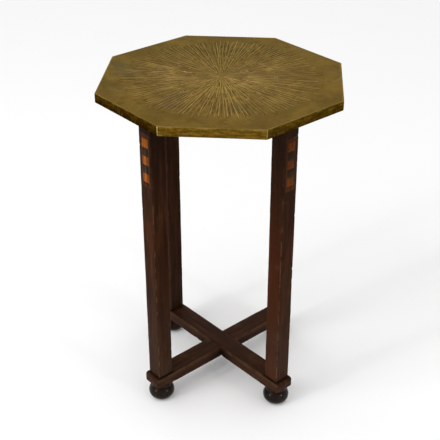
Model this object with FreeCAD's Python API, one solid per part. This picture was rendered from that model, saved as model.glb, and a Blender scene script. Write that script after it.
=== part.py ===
import FreeCAD, Part
import math
import os

from FreeCAD import Vector

# Octagonal brass tray table on four square legs, in millimetres.
# The origin is on the floor at the middle of the table, +Z is up and -Y is the front.
# The octagon has one flat edge square to each of X, Y and the two diagonals between them.
# A leg stands behind the middle of each diagonal edge.

# Driving dimensions of the whole table
TABLE_HEIGHT = 658.0
TOP_WIDTH = 440.0
STAND_TWIST = 1.1
LEG_AXIS_RADIUS = 166.5

# Brass tray: a sheet folded down over a wooden board, with a lip folded in under it
RIM_HEIGHT = 17.5
SHEET = 1.2
LIP_WIDTH = 9.0
RIM_CORNER_RADIUS = 4.0
RIM_EDGE_RADIUS = 1.0
BOARD_CLEARANCE = 0.3
SEAM_WIDTH = 2.4
SEAM_DEPTH = 0.5
SEAM_END_GAP = 1.2

# Round-headed brass tacks that hold the lip to the board
TACKS_PER_SIDE = 3
TACK_SPACING = 58.0
TACK_HEAD_RADIUS = 2.4
TACK_HEAD_HEIGHT = 1.3
TACK_SHANK_RADIUS = 0.8
TACK_SHANK_LENGTH = 9.0
TACK_CLEARANCE = 0.1

# Upper rails: two bars half-lapped under the board and tenoned into the legs
RAIL_WIDTH = 22.0
RAIL_HEIGHT = 32.0
TENON_WIDTH = 10.0
TENON_HEIGHT = 20.0
TENON_LENGTH = 16.0

# Screws that pull the board down on to the rails
SCREW_RADII = (62.0, 118.0)
SCREW_HEAD_RADIUS = 4.0
SCREW_HEAD_HEIGHT = 2.6
SCREW_SHANK_RADIUS = 2.0
SCREW_BITE = 10.0
SCREW_POINT = 3.0
SCREW_WELL_RADIUS = 5.0
SCREW_WELL_DEPTH = 18.0
SCREW_CLEARANCE = 0.2

# Legs
LEG_WIDTH = 33.3
LEG_EDGE_RADIUS = 1.2
LEG_END_CHAMFER = 0.8

# Inlaid strip in the outer face of each leg
INLAY_TOP = 602.2
INLAY_WIDTH = 24.0
INLAY_DEPTH = 1.5
LINE_SIDE = 2.0
LINE_END = 2.6
BAND_SIDE = 1.5
BAND_END = 7.2
LIGHT_SQUARES = 3
LIGHT_SQUARE_HEIGHT = 17.3
DARK_SQUARE_HEIGHT = 17.3

# Lower stretcher: two flat bars half-lapped into an X, with a leg standing on each end
STRETCHER_TOP = 61.0
STRETCHER_THICKNESS = 24.5
STRETCHER_WIDTH = 40.3
STRETCHER_REACH = 191.5
STRETCHER_END_TOP_RADIUS = 6.0
STRETCHER_END_BOTTOM_RADIUS = 9.0
STRETCHER_EDGE_RADIUS = 1.5

# Turned bun feet, each with a spigot that passes through the stretcher into the leg
FOOT_RADIUS = 26.2
FOOT_BELLY_HEIGHT = 16.7
FOOT_BELLY_SEMI_HEIGHT = 20.8
FOOT_COLLAR_RADIUS = 21.0
FOOT_COLLAR_HEIGHT = 5.5
SPIGOT_RADIUS = 8.0
SPIGOT_IN_LEG = 28.0
SPIGOT_CLEARANCE = 0.1

# Heights that follow from the dimensions above
BOARD_TOP = TABLE_HEIGHT - SHEET
LIP_BOTTOM = TABLE_HEIGHT - RIM_HEIGHT
BOARD_BOTTOM = LIP_BOTTOM + SHEET
RAIL_BOTTOM = BOARD_BOTTOM - RAIL_HEIGHT
STRETCHER_BOTTOM = STRETCHER_TOP - STRETCHER_THICKNESS
LEG_OUTER_FACE = LEG_AXIS_RADIUS + LEG_WIDTH / 2
LEG_INNER_FACE = LEG_AXIS_RADIUS - LEG_WIDTH / 2
SQUARES_HEIGHT = LIGHT_SQUARES * LIGHT_SQUARE_HEIGHT + (LIGHT_SQUARES - 1) * DARK_SQUARE_HEIGHT
INLAY_HEIGHT = SQUARES_HEIGHT + 2 * (LINE_END + BAND_END)
INLAY_BOTTOM = INLAY_TOP - INLAY_HEIGHT
SPIGOT_TOP = STRETCHER_TOP + SPIGOT_IN_LEG

# Each stand corner and the direction of its diagonal, in degrees from +X
CORNERS = {
    "front_left": 225.0,
    "front_right": 315.0,
    "back_right": 45.0,
    "back_left": 135.0,
}
SIDES = 8
SIDE_ANGLE = 360.0 / SIDES
UP = Vector(0, 0, 1)
CENTRE = Vector(0, 0, 0)
TINY_OVERCUT = 1.0
SAME = 1e-5


def box(low_x, high_x, low_y, high_y, low_z, high_z):
    size = (high_x - low_x, high_y - low_y, high_z - low_z)
    return Part.makeBox(*size, Vector(low_x, low_y, low_z))


def rod(radius, low_z, high_z, x=0.0, y=0.0):
    return Part.makeCylinder(radius, high_z - low_z, Vector(x, y, low_z), UP)


def turned(shape, degrees):
    copy = shape.copy()
    copy.rotate(CENTRE, UP, degrees)
    return copy


def on_stand(shape, corner_angle):
    """Turns a shape built along +X to one diagonal of the stand."""
    return turned(shape, corner_angle + STAND_TWIST)


def vertical_edges(solid):
    edges = []
    for edge in solid.Edges:
        bounds = edge.BoundBox
        if bounds.XLength < SAME and bounds.YLength < SAME:
            edges.append(edge)
    return edges


def edges_at_height(solid, height):
    edges = []
    for edge in solid.Edges:
        bounds = edge.BoundBox
        if bounds.ZLength < SAME and abs(bounds.ZMin - height) < SAME:
            edges.append(edge)
    return edges


def octagon(width_across_flats, low_z, high_z, corner_radius=0.0):
    apothem = width_across_flats / 2
    corner_reach = apothem / math.cos(math.radians(SIDE_ANGLE / 2))
    points = []
    for side in range(SIDES + 1):
        angle = math.radians(SIDE_ANGLE * (side + 0.5))
        points.append(Vector(corner_reach * math.cos(angle), corner_reach * math.sin(angle), low_z))
    prism = Part.Face(Part.makePolygon(points)).extrude(Vector(0, 0, high_z - low_z))
    if corner_radius > 0:
        prism = prism.makeFillet(corner_radius, vertical_edges(prism))
    return prism


def tack_positions():
    """Places of the lip tacks as angle of the side, distance out and distance along the side."""
    places = []
    for side in range(SIDES):
        for index in range(TACKS_PER_SIDE):
            along = (index - (TACKS_PER_SIDE - 1) / 2) * TACK_SPACING
            places.append((SIDE_ANGLE * side, TOP_WIDTH / 2 - SHEET - LIP_WIDTH / 2, along))
    return places


def brass_tray():
    outside = octagon(TOP_WIDTH, LIP_BOTTOM, TABLE_HEIGHT, RIM_CORNER_RADIUS)
    outside = outside.makeFillet(RIM_EDGE_RADIUS, edges_at_height(outside, TABLE_HEIGHT))
    inner_corner = RIM_CORNER_RADIUS - SHEET
    inside = octagon(TOP_WIDTH - 2 * SHEET, BOARD_BOTTOM, BOARD_TOP, inner_corner)
    opening_width = TOP_WIDTH - 2 * (SHEET + LIP_WIDTH)
    lip_opening = octagon(opening_width, LIP_BOTTOM - TINY_OVERCUT, BOARD_BOTTOM + TINY_OVERCUT)
    tray = outside.cut(inside).cut(lip_opening)
    hole_radius = TACK_SHANK_RADIUS + TACK_CLEARANCE
    for angle, out, along in tack_positions():
        hole = rod(hole_radius, LIP_BOTTOM - TINY_OVERCUT, BOARD_BOTTOM + TINY_OVERCUT, out, along)
        tray = tray.cut(turned(hole, angle))
    for side in range(SIDES):
        tray = tray.cut(seam_strip(side))
    return tray


def seam_strip(side):
    """One solder strip let into the rounded corner of the rim."""
    corner_reach = TOP_WIDTH / 2 / math.cos(math.radians(SIDE_ANGLE / 2))
    rounding = RIM_CORNER_RADIUS * (1 / math.cos(math.radians(SIDE_ANGLE / 2)) - 1)
    face = corner_reach - rounding
    arc_centre = face - RIM_CORNER_RADIUS
    low = LIP_BOTTOM + SEAM_END_GAP
    high = TABLE_HEIGHT - RIM_EDGE_RADIUS - SEAM_END_GAP
    ring = rod(RIM_CORNER_RADIUS, low, high, arc_centre)
    ring = ring.cut(rod(RIM_CORNER_RADIUS - SEAM_DEPTH, low, high, arc_centre))
    half = SEAM_WIDTH / 2
    strip = ring.common(box(arc_centre, face + TINY_OVERCUT, -half, half, low, high))
    return turned(strip, SIDE_ANGLE * (side + 0.5))


def solder_seams():
    return Part.makeCompound([seam_strip(side) for side in range(SIDES)])


def top_board():
    width = TOP_WIDTH - 2 * (SHEET + BOARD_CLEARANCE)
    board = octagon(width, BOARD_BOTTOM, BOARD_TOP, RIM_CORNER_RADIUS - SHEET)
    for angle, out, along in tack_positions():
        hole = rod(TACK_SHANK_RADIUS, BOARD_BOTTOM, LIP_BOTTOM + TACK_SHANK_LENGTH, out, along)
        board = board.cut(turned(hole, angle))
    for corner_angle in CORNERS.values():
        for radius in SCREW_RADII:
            board = board.cut(on_stand(screw(radius), corner_angle))
    return board


def lip_tack():
    """A domed head below the lip and a straight shank above it, standing on the Z axis."""
    dome_radius = (TACK_HEAD_RADIUS ** 2 + TACK_HEAD_HEIGHT ** 2) / (2 * TACK_HEAD_HEIGHT)
    ball = Part.makeSphere(dome_radius, Vector(0, 0, LIP_BOTTOM - TACK_HEAD_HEIGHT + dome_radius))
    head = ball.common(rod(TACK_HEAD_RADIUS, LIP_BOTTOM - TACK_HEAD_HEIGHT, LIP_BOTTOM))
    return head.fuse(rod(TACK_SHANK_RADIUS, LIP_BOTTOM, LIP_BOTTOM + TACK_SHANK_LENGTH))


def lip_tacks():
    tacks = []
    for angle, out, along in tack_positions():
        tack = lip_tack()
        tack.translate(Vector(out, along, 0))
        tacks.append(turned(tack, angle))
    return Part.makeCompound(tacks)


def screw(radius):
    """A pan-headed wood screw that passes up through a rail into the board."""
    seat = RAIL_BOTTOM + SCREW_WELL_DEPTH
    shank_top = BOARD_BOTTOM + SCREW_BITE - SCREW_POINT
    head = rod(SCREW_HEAD_RADIUS, seat - SCREW_HEAD_HEIGHT, seat, radius)
    head = head.makeFillet(SCREW_HEAD_HEIGHT * 0.6, edges_at_height(head, seat - SCREW_HEAD_HEIGHT))
    shank = rod(SCREW_SHANK_RADIUS, seat, shank_top, radius)
    point = Part.makeCone(SCREW_SHANK_RADIUS, 0.3, SCREW_POINT, Vector(radius, 0, shank_top), UP)
    return head.fuse(shank).fuse(point).removeSplitter()


def top_screws():
    screws = []
    for corner_angle in CORNERS.values():
        for radius in SCREW_RADII:
            screws.append(on_stand(screw(radius), corner_angle))
    return Part.makeCompound(screws)


def tenon_block(low_x, high_x):
    middle = BOARD_BOTTOM - RAIL_HEIGHT / 2
    half_width = TENON_WIDTH / 2
    half_height = TENON_HEIGHT / 2
    return box(low_x, high_x, -half_width, half_width, middle - half_height, middle + half_height)


def upper_rail(first_corner, lap_from_top):
    """One bar of the upper X, along the diagonal of the named corner, with its lap cut away."""
    half = RAIL_WIDTH / 2
    middle = BOARD_BOTTOM - RAIL_HEIGHT / 2
    rail = box(-LEG_INNER_FACE, LEG_INNER_FACE, -half, half, RAIL_BOTTOM, BOARD_BOTTOM)
    tenon_end = LEG_INNER_FACE + TENON_LENGTH
    rail = rail.fuse(tenon_block(-tenon_end, tenon_end))
    if lap_from_top:
        rail = rail.cut(box(-half, half, -half, half, middle, BOARD_BOTTOM))
    else:
        rail = rail.cut(box(-half, half, -half, half, RAIL_BOTTOM, middle))
    for radius in SCREW_RADII:
        for side in (-1, 1):
            x = side * radius
            rail = rail.cut(rod(SCREW_WELL_RADIUS, RAIL_BOTTOM, RAIL_BOTTOM + SCREW_WELL_DEPTH, x))
            rail = rail.cut(rod(SCREW_SHANK_RADIUS + SCREW_CLEARANCE, RAIL_BOTTOM, BOARD_BOTTOM, x))
    return on_stand(rail.removeSplitter(), CORNERS[first_corner])


def leg(corner_angle):
    """A square post with a recess for the inlay, a mortise for the rail and a socket for the spigot."""
    half = LEG_WIDTH / 2
    post = box(LEG_INNER_FACE, LEG_OUTER_FACE, -half, half, STRETCHER_TOP, BOARD_BOTTOM)
    post = post.makeFillet(LEG_EDGE_RADIUS, vertical_edges(post))
    post = post.makeChamfer(LEG_END_CHAMFER, edges_at_height(post, STRETCHER_TOP))
    recess = box(LEG_OUTER_FACE - INLAY_DEPTH, LEG_OUTER_FACE + TINY_OVERCUT,
                 -INLAY_WIDTH / 2, INLAY_WIDTH / 2, INLAY_BOTTOM, INLAY_TOP)
    mortise = tenon_block(LEG_INNER_FACE - TINY_OVERCUT, LEG_INNER_FACE + TENON_LENGTH)
    socket_radius = SPIGOT_RADIUS + SPIGOT_CLEARANCE
    socket = rod(socket_radius, STRETCHER_TOP - TINY_OVERCUT, SPIGOT_TOP, LEG_AXIS_RADIUS)
    return on_stand(post.cut(recess).cut(mortise).cut(socket), corner_angle)


def inlay_piece(half_width_in, half_width_out, low_z, high_z):
    return box(LEG_OUTER_FACE - INLAY_DEPTH, LEG_OUTER_FACE, half_width_in, half_width_out, low_z, high_z)


def inlay_border(margin_side, margin_end, side, end):
    """Four strips round the inlay: two uprights and two short end pieces between them."""
    outer = INLAY_WIDTH / 2 - margin_side
    inner = outer - side
    low = INLAY_BOTTOM + margin_end
    high = INLAY_TOP - margin_end
    return [
        inlay_piece(-outer, -inner, low, high),
        inlay_piece(inner, outer, low, high),
        inlay_piece(-inner, inner, high - end, high),
        inlay_piece(-inner, inner, low, low + end),
    ]


def light_lines(corner_angle):
    return on_stand(Part.makeCompound(inlay_border(0, 0, LINE_SIDE, LINE_END)), corner_angle)


def red_bands(corner_angle):
    return on_stand(Part.makeCompound(inlay_border(LINE_SIDE, LINE_END, BAND_SIDE, BAND_END)), corner_angle)


def squares(first_top, height, step, count, corner_angle):
    half = INLAY_WIDTH / 2 - LINE_SIDE - BAND_SIDE
    pieces = []
    for index in range(count):
        high = first_top - index * step
        pieces.append(inlay_piece(-half, half, high - height, high))
    return on_stand(Part.makeCompound(pieces), corner_angle)


def light_squares(corner_angle):
    first_top = INLAY_TOP - LINE_END - BAND_END
    step = LIGHT_SQUARE_HEIGHT + DARK_SQUARE_HEIGHT
    return squares(first_top, LIGHT_SQUARE_HEIGHT, step, LIGHT_SQUARES, corner_angle)


def dark_squares(corner_angle):
    first_top = INLAY_TOP - LINE_END - BAND_END - LIGHT_SQUARE_HEIGHT
    step = LIGHT_SQUARE_HEIGHT + DARK_SQUARE_HEIGHT
    return squares(first_top, DARK_SQUARE_HEIGHT, step, LIGHT_SQUARES - 1, corner_angle)


def rounded_corner(corner_x, corner_z, radius, towards_x, towards_z):
    """Start, middle and end of the arc that rounds one corner of the bar's side outline."""
    centre = Vector(corner_x + towards_x * radius, 0, corner_z + towards_z * radius)
    slant = radius * math.sqrt(0.5)
    on_end_face = centre + Vector(-towards_x * radius, 0, 0)
    on_flat_face = centre + Vector(0, 0, -towards_z * radius)
    between = centre + Vector(-towards_x * slant, 0, -towards_z * slant)
    return on_flat_face, between, on_end_face


def stretcher_side_outline():
    """The bar seen from its side, with both ends rounded over at the top and bottom."""
    reach = STRETCHER_REACH
    top_radius = STRETCHER_END_TOP_RADIUS
    low_radius = STRETCHER_END_BOTTOM_RADIUS
    corners = [
        rounded_corner(reach, STRETCHER_BOTTOM, low_radius, -1, 1),
        rounded_corner(reach, STRETCHER_TOP, top_radius, -1, -1)[::-1],
        rounded_corner(-reach, STRETCHER_TOP, top_radius, 1, -1),
        rounded_corner(-reach, STRETCHER_BOTTOM, low_radius, 1, 1)[::-1],
    ]
    edges = []
    for index, (start, middle, end) in enumerate(corners):
        next_start = corners[(index + 1) % len(corners)][0]
        edges.append(Part.Arc(start, middle, end).toShape())
        edges.append(Part.LineSegment(end, next_start).toShape())
    outline = Part.Wire(edges)
    outline.translate(Vector(0, -STRETCHER_WIDTH / 2, 0))
    return outline


def stretcher_bar(first_corner, lap_from_top):
    """One bar of the lower X, along the diagonal of the named corner, with its lap cut away."""
    bar = Part.Face(stretcher_side_outline()).extrude(Vector(0, STRETCHER_WIDTH, 0))
    side_edges = [edge for edge in bar.Edges if edge.BoundBox.YLength < SAME]
    bar = bar.makeFillet(STRETCHER_EDGE_RADIUS, side_edges)
    half = STRETCHER_WIDTH / 2
    middle = STRETCHER_BOTTOM + STRETCHER_THICKNESS / 2
    if lap_from_top:
        bar = bar.cut(box(-half, half, -half, half, middle, STRETCHER_TOP + TINY_OVERCUT))
    else:
        bar = bar.cut(box(-half, half, -half, half, STRETCHER_BOTTOM - TINY_OVERCUT, middle))
    hole_radius = SPIGOT_RADIUS + SPIGOT_CLEARANCE
    for x in (-LEG_AXIS_RADIUS, LEG_AXIS_RADIUS):
        hole = rod(hole_radius, STRETCHER_BOTTOM - TINY_OVERCUT, STRETCHER_TOP + TINY_OVERCUT, x)
        bar = bar.cut(hole)
    return on_stand(bar, CORNERS[first_corner])


def foot(corner_angle):
    """A turned bun with a short collar above it and a spigot that holds stretcher and leg together."""
    belly_base = FOOT_RADIUS * math.sqrt(1 - (FOOT_BELLY_HEIGHT / FOOT_BELLY_SEMI_HEIGHT) ** 2)
    collar_low = STRETCHER_BOTTOM - FOOT_COLLAR_HEIGHT
    low_angle = -math.asin(FOOT_BELLY_HEIGHT / FOOT_BELLY_SEMI_HEIGHT)
    high_angle = math.asin((collar_low - FOOT_BELLY_HEIGHT) / FOOT_BELLY_SEMI_HEIGHT)
    belly_top = FOOT_RADIUS * math.cos(high_angle)
    ellipse = Part.Ellipse(Vector(0, FOOT_BELLY_HEIGHT, 0), FOOT_RADIUS, FOOT_BELLY_SEMI_HEIGHT)
    belly = Part.ArcOfEllipse(ellipse, low_angle, high_angle).toShape()
    outline = [
        Vector(belly_top, collar_low, 0),
        Vector(FOOT_COLLAR_RADIUS, collar_low, 0),
        Vector(FOOT_COLLAR_RADIUS, STRETCHER_BOTTOM, 0),
        Vector(SPIGOT_RADIUS, STRETCHER_BOTTOM, 0),
        Vector(SPIGOT_RADIUS, SPIGOT_TOP, 0),
        Vector(0, SPIGOT_TOP, 0),
        Vector(0, 0, 0),
        Vector(belly_base, 0, 0),
    ]
    profile = Part.Face(Part.Wire([belly] + Part.makePolygon(outline).Edges))
    profile.rotate(CENTRE, Vector(1, 0, 0), 90)
    turned_foot = profile.revolve(CENTRE, UP, 360)
    turned_foot.translate(Vector(LEG_AXIS_RADIUS, 0, 0))
    return on_stand(turned_foot, corner_angle)


def build_nodes():
    nodes = {
        "brass_tray_top": brass_tray(),
        "rim_corner_seams": solder_seams(),
        "top_board": top_board(),
        "lip_tacks": lip_tacks(),
        "top_screws": top_screws(),
        "upper_rail_lower_half": upper_rail("front_left", True),
        "upper_rail_upper_half": upper_rail("front_right", False),
        "stretcher_bar_front_left": stretcher_bar("front_left", True),
        "stretcher_bar_front_right": stretcher_bar("front_right", False),
    }
    for name, corner_angle in CORNERS.items():
        nodes["leg_" + name] = leg(corner_angle)
        nodes["inlay_light_squares_" + name] = light_squares(corner_angle)
        nodes["inlay_dark_squares_" + name] = dark_squares(corner_angle)
        nodes["inlay_red_bands_" + name] = red_bands(corner_angle)
        nodes["inlay_light_lines_" + name] = light_lines(corner_angle)
        nodes["foot_" + name] = foot(corner_angle)
    return nodes


os.makedirs("parts", exist_ok=True)
for node_name, shape in build_nodes().items():
    if not shape.isValid():
        raise ValueError(node_name + " isn't a valid shape")
    shape.exportStep("parts/" + node_name + ".step")
    print(node_name, len(shape.Solids), "solids", round(shape.Volume / 1000, 2), "cm3")
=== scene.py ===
from math import asin, atan2, cos, degrees, hypot, pi, radians, sin, sqrt, tan

import bmesh
import bpy
import numpy as np
from mathutils import Matrix, Vector, noise


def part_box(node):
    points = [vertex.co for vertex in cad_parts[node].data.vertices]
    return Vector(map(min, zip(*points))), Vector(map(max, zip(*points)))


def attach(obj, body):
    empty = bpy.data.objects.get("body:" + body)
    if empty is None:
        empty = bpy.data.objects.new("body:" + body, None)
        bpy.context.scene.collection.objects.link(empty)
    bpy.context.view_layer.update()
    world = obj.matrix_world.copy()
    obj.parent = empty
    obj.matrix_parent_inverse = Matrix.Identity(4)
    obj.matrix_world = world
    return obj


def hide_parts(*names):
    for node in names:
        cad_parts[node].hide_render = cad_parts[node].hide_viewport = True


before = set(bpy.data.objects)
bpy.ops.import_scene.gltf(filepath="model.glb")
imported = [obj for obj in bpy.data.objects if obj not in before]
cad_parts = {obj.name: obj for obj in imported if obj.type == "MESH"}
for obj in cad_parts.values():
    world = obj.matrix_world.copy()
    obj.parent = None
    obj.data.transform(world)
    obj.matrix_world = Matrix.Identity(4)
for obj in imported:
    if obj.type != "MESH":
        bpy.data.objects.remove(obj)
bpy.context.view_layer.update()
MM = 0.001

# ---- places read from the frame
tray_low, tray_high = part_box("brass_tray_top")
TOP = tray_high.z
LIP_BOTTOM = tray_low.z
APOTHEM = tray_high.x
leg_low, leg_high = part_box("leg_back_right")
LEG_FOOT = leg_low.z
LEG_HEAD = leg_high.z
leg_axis = (leg_low + leg_high) / 2
LEG_RADIUS = hypot(leg_axis.x, leg_axis.y)
STAND_TWIST = atan2(leg_axis.y, leg_axis.x) - radians(45)
bar_low, bar_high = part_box("stretcher_bar_front_right")
BAR_LOW = bar_low.z
BAR_HIGH = bar_high.z
inlay_low, inlay_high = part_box("inlay_light_lines_back_right")
foot_low, foot_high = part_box("foot_back_right")
SPIGOT_TOP = foot_high.z
FOOT_RADIUS = (foot_high.x - foot_low.x) / 2
STAND_TURN = -(radians(45) + STAND_TWIST)

# ---- sizes that the frame's boxes don't give
SHEET = 1.2 * MM
LIP_WIDTH = 9 * MM
RIM_CORNER = 4 * MM
RIM_EDGE = 1 * MM
RIM_DENT = 0.12 * MM
SEAM_LOW = LIP_BOTTOM + 0.9 * MM
SEAM_HIGH = TOP - 0.25 * MM
SEAM_PROUD = 0.16 * MM
SEAM_ROOT = 0.6 * MM
SEAM_ROWS = 26
SEAM_STEPS = 8
LEG_WIDTH = 33.3 * MM
LEG_ARRIS = 1.2 * MM
LEG_END_CHAMFER = 0.8 * MM
INLAY_WIDTH = 24 * MM
INLAY_DEPTH = 1.5 * MM
BAR_WIDTH = 40.3 * MM
BAR_REACH = 191.5 * MM
BAR_END_TOP = 6 * MM
BAR_END_LOW = 9 * MM
BAR_END_SIDE = 3.5 * MM
BAR_ARRIS = 1.5 * MM
BAR_ROWS = 84
TENON_WIDTH = 10 * MM
TENON_HEIGHT = 20 * MM
TENON_LENGTH = 16 * MM
RAIL_HEIGHT = 32 * MM
SPIGOT_RADIUS = 8 * MM
HOLE_RADIUS = SPIGOT_RADIUS + 0.1 * MM
LAP_CLEARANCE = 0.12 * MM
WAVINESS = 0.22 * MM
ROW_SPACING = 4.5 * MM
FOOT_SEGMENTS = 88
FOOT_BASE_RADIUS = 12 * MM
FOOT_BELLY_HEIGHT = 16.7 * MM
FOOT_BELLY_SEMI = 20.8 * MM
FOOT_LINE_ANGLE = radians(-4)
FOOT_LINE_DEPTH = 0.55 * MM
FOOT_QUIRK = 1.1 * MM
FOOT_COLLAR_RADIUS = 21 * MM
FOOT_COLLAR_HEIGHT = 5.5 * MM
FOOT_COLLAR_BULGE = 1.2 * MM
CORNERS = {"front_left": 225, "front_right": 315, "back_right": 45, "back_left": 135}
SIDES = 8
HALF_SIDE = pi / SIDES

# ---- the chased sunburst
SUN_X = -1.5 * MM
SUN_Y = 6 * MM
GROUND_DEPTH = 0.55 * MM
LINE_HALF_WIDTH = 0.95 * MM
DASH_HALF_WIDTH = 0.75 * MM
# Each ring: number of lines, start, end and raggedness of the ends in mm, height, shares of lines joined at
# the inner and the outer end, and share of dashes drawn.
RINGS_OF_LINES = (
    (24, 4, 24, 3, 0.8, 0, 0, 0),
    (48, 12, 49, 6, 0.9, 0, 0.35, 0.6),
    (90, 49, 96, 8, 1, 0.3, 0.45, 0.7),
    (140, 97, 181, 9, 1, 0.4, 0, 0.75),
)
# Each zone of the grid under the lines: divisions round, then inner radius, outer radius and step in mm.
SUN_ZONES = ((360, 3, 19, 2.2), (720, 20.5, 44, 2.0), (1200, 45.5, 88, 2.6), (1440, 90, 106, 2.0),
             (1920, 109, 193, 4.2))
SUN_EDGE = SUN_ZONES[-1][2] * MM
# Seam brightness at the top of each corner: rubbed solder, and on the front left corner (the sixth) a painted
# glint.
SEAM_POLISH_AND_GLINT_BY_CORNER = (0.4, 0.3, 0.5, 0.3, 0.5, 1.0, 0.3, 0.45)
RIM_PATINA_BY_SIDE = (0.8, 0.45, 0.6, 0.35, 0.65, 1.0, 0.15, 0.8)

# ---- colours
BRASS_EDGE = (0.82, 0.74, 0.50)
CRUST_EDGE = (0.20, 0.14, 0.04)
DUSTY = (0.062, 0.041, 0.029)
# Painted shade, with dirt in the joints, for the legs and the stretchers.
SHADE_AND_JOINT_DIRT = (0.006, 0.0028, 0.0012)
RUDDY_DARK = (0.030, 0.0070, 0.0016)
RUDDY_LIGHT = (0.072, 0.0170, 0.0042)
# Dark, middle and light tone of each wood.
OAK = ((0.0145, 0.0043, 0.0012), (0.030, 0.0094, 0.0030), (0.060, 0.0192, 0.0059))
RAIL_OAK = ((0.05, 0.026, 0.014), (0.10, 0.052, 0.027), (0.16, 0.085, 0.045))
PINE = ((0.10, 0.055, 0.028), (0.19, 0.11, 0.058), (0.29, 0.18, 0.10))
EBONISED = ((0.0035, 0.0014, 0.0006), (0.008, 0.0034, 0.0012), (0.020, 0.0085, 0.0032))
# Roughness, strength of the pores, and tones of the inlay's woods.
INLAY_WOODS = {
    "satinwood": (0.36, 0.8, ((0.10, 0.018, 0.001), (0.225, 0.055, 0.003), (0.38, 0.110, 0.007))),
    "satinwood_dark": (0.4, 0.8, ((0.045, 0.010, 0.001), (0.094, 0.023, 0.002), (0.165, 0.047, 0.006))),
    "ebony": (0.38, 0.5, ((0.010, 0.004, 0.001), (0.024, 0.010, 0.003), (0.052, 0.024, 0.008))),
    "rosewood": (0.38, 0.5, ((0.020, 0.003, 0.0006), (0.046, 0.009, 0.0014), (0.10, 0.018, 0.003))),
    "boxwood": (0.4, 0.2, ((0.021, 0.008, 0.0024), (0.041, 0.017, 0.005), (0.072, 0.031, 0.010))),
}
INLAY_SLOTS = {"light_squares": "satinwood", "dark_squares": "ebony", "red_bands": "rosewood",
               "light_lines": "boxwood"}
LIGHTER_CORNERS = ("front_left", "back_right")


# ---- helpers for meshes
def link(name, data):
    piece = bpy.data.objects.new(name, data)
    bpy.context.scene.collection.objects.link(piece)
    return piece


def new_object(name, vertices, faces):
    mesh = bpy.data.meshes.new(name)
    mesh.from_pydata([tuple(v) for v in vertices], [], faces)
    mesh.validate()
    return link(name, mesh)


def store(piece, name, values):
    """Keeps one value at each vertex for the piece's material."""
    attribute = piece.data.attributes.new(name, "FLOAT", "POINT")
    attribute.data.foreach_set("value", np.array(values, dtype=np.float32))


def shade(piece, sharp_above=35):
    mesh = piece.data
    mesh.polygons.foreach_set("use_smooth", [True] * len(mesh.polygons))
    mesh.set_sharp_from_angle(angle=radians(sharp_above))
    mesh.update()


def place(piece, slot, material, *nodes):
    """Gives a finished piece its material and the body it rides on, and hides the CAD nodes it stands for."""
    piece.data.materials.clear()
    piece.data.materials.append(material)
    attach(piece, "root")
    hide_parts(*nodes)


def ripples(x, y, wavelength, seed, waves=28):
    """A smooth random field of about -1 to 1: many plane waves of about one wavelength."""
    rng = np.random.default_rng(seed)
    total = np.zeros_like(x)
    for _ in range(waves):
        direction = rng.uniform(0, 2 * pi)
        length = wavelength * rng.uniform(0.7, 1.6)
        phase = rng.uniform(0, 2 * pi)
        total += np.sin(2 * pi * (x * cos(direction) + y * sin(direction)) / length + phase)
    return total / sqrt(waves)


def bridge(faces, first, first_angles, second, second_angles):
    """Joins two closed rings of vertices by angle, with quads where they match and triangles where not."""
    first = [*first, first[0]]
    second = [*second, second[0]]
    if len(first) == len(second):
        faces.extend(zip(first, second, second[1:], first[1:]))
        return
    first_angles = [*first_angles, 2 * pi]
    second_angles = [*second_angles, 2 * pi]
    i = 0
    j = 0
    while i + 1 < len(first) or j + 1 < len(second):
        if j + 1 == len(second) or (i + 1 < len(first) and first_angles[i + 1] <= second_angles[j + 1]):
            faces.append((first[i], second[j], first[i + 1]))
            i += 1
        else:
            faces.append((first[i], second[j], second[j + 1]))
            j += 1


def tube_faces(start, rows, loop):
    """The faces of a tube with closed ends, through rows of loop vertices each."""
    faces = []
    last = start + (rows - 1) * loop
    for a in range(start, last, loop):
        for k in range(loop):
            j = (k + 1) % loop
            faces.append((a + k, a + j, a + loop + j, a + loop + k))
    faces.append(tuple(range(start, start + loop))[::-1])
    faces.append(tuple(range(last, last + loop)))
    return faces


def cut(piece, cutters):
    """Takes the cutters' shapes out of a piece, then deletes the cutters."""
    for cutter in cutters:
        modifier = piece.modifiers.new("cut", "BOOLEAN")
        modifier.operation = "DIFFERENCE"
        modifier.solver = "EXACT"
        modifier.object = cutter
    bpy.context.view_layer.update()
    graph = bpy.context.evaluated_depsgraph_get()
    mesh = bpy.data.meshes.new_from_object(piece.evaluated_get(graph))
    piece.modifiers.clear()
    piece.data = mesh
    for cutter in cutters:
        bpy.data.objects.remove(cutter)


def box_cutter(matrix, low, high):
    corners = [Vector((x, y, z)) for x in (low[0], high[0]) for y in (low[1], high[1])
               for z in (low[2], high[2])]
    faces = [(0, 1, 3, 2), (4, 6, 7, 5), (0, 4, 5, 1), (2, 3, 7, 6), (0, 2, 6, 4), (1, 5, 7, 3)]
    return new_object("cutter", [matrix @ c for c in corners], faces)


def rod_cutter(matrix, x, radius, low_z, high_z, sides=48):
    vertices = []
    for z in (low_z, high_z):
        for k in range(sides):
            angle = 2 * pi * k / sides
            vertices.append(matrix @ Vector((x + radius * cos(angle), radius * sin(angle), z)))
    faces = tube_faces(0, 2, sides)
    return new_object("cutter", vertices, faces[sides:] + faces[:sides])


def stand_matrix(corner_angle):
    """Turns local +X to one diagonal of the stand."""
    return Matrix.Rotation(radians(corner_angle) + STAND_TWIST, 4, "Z")


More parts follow.
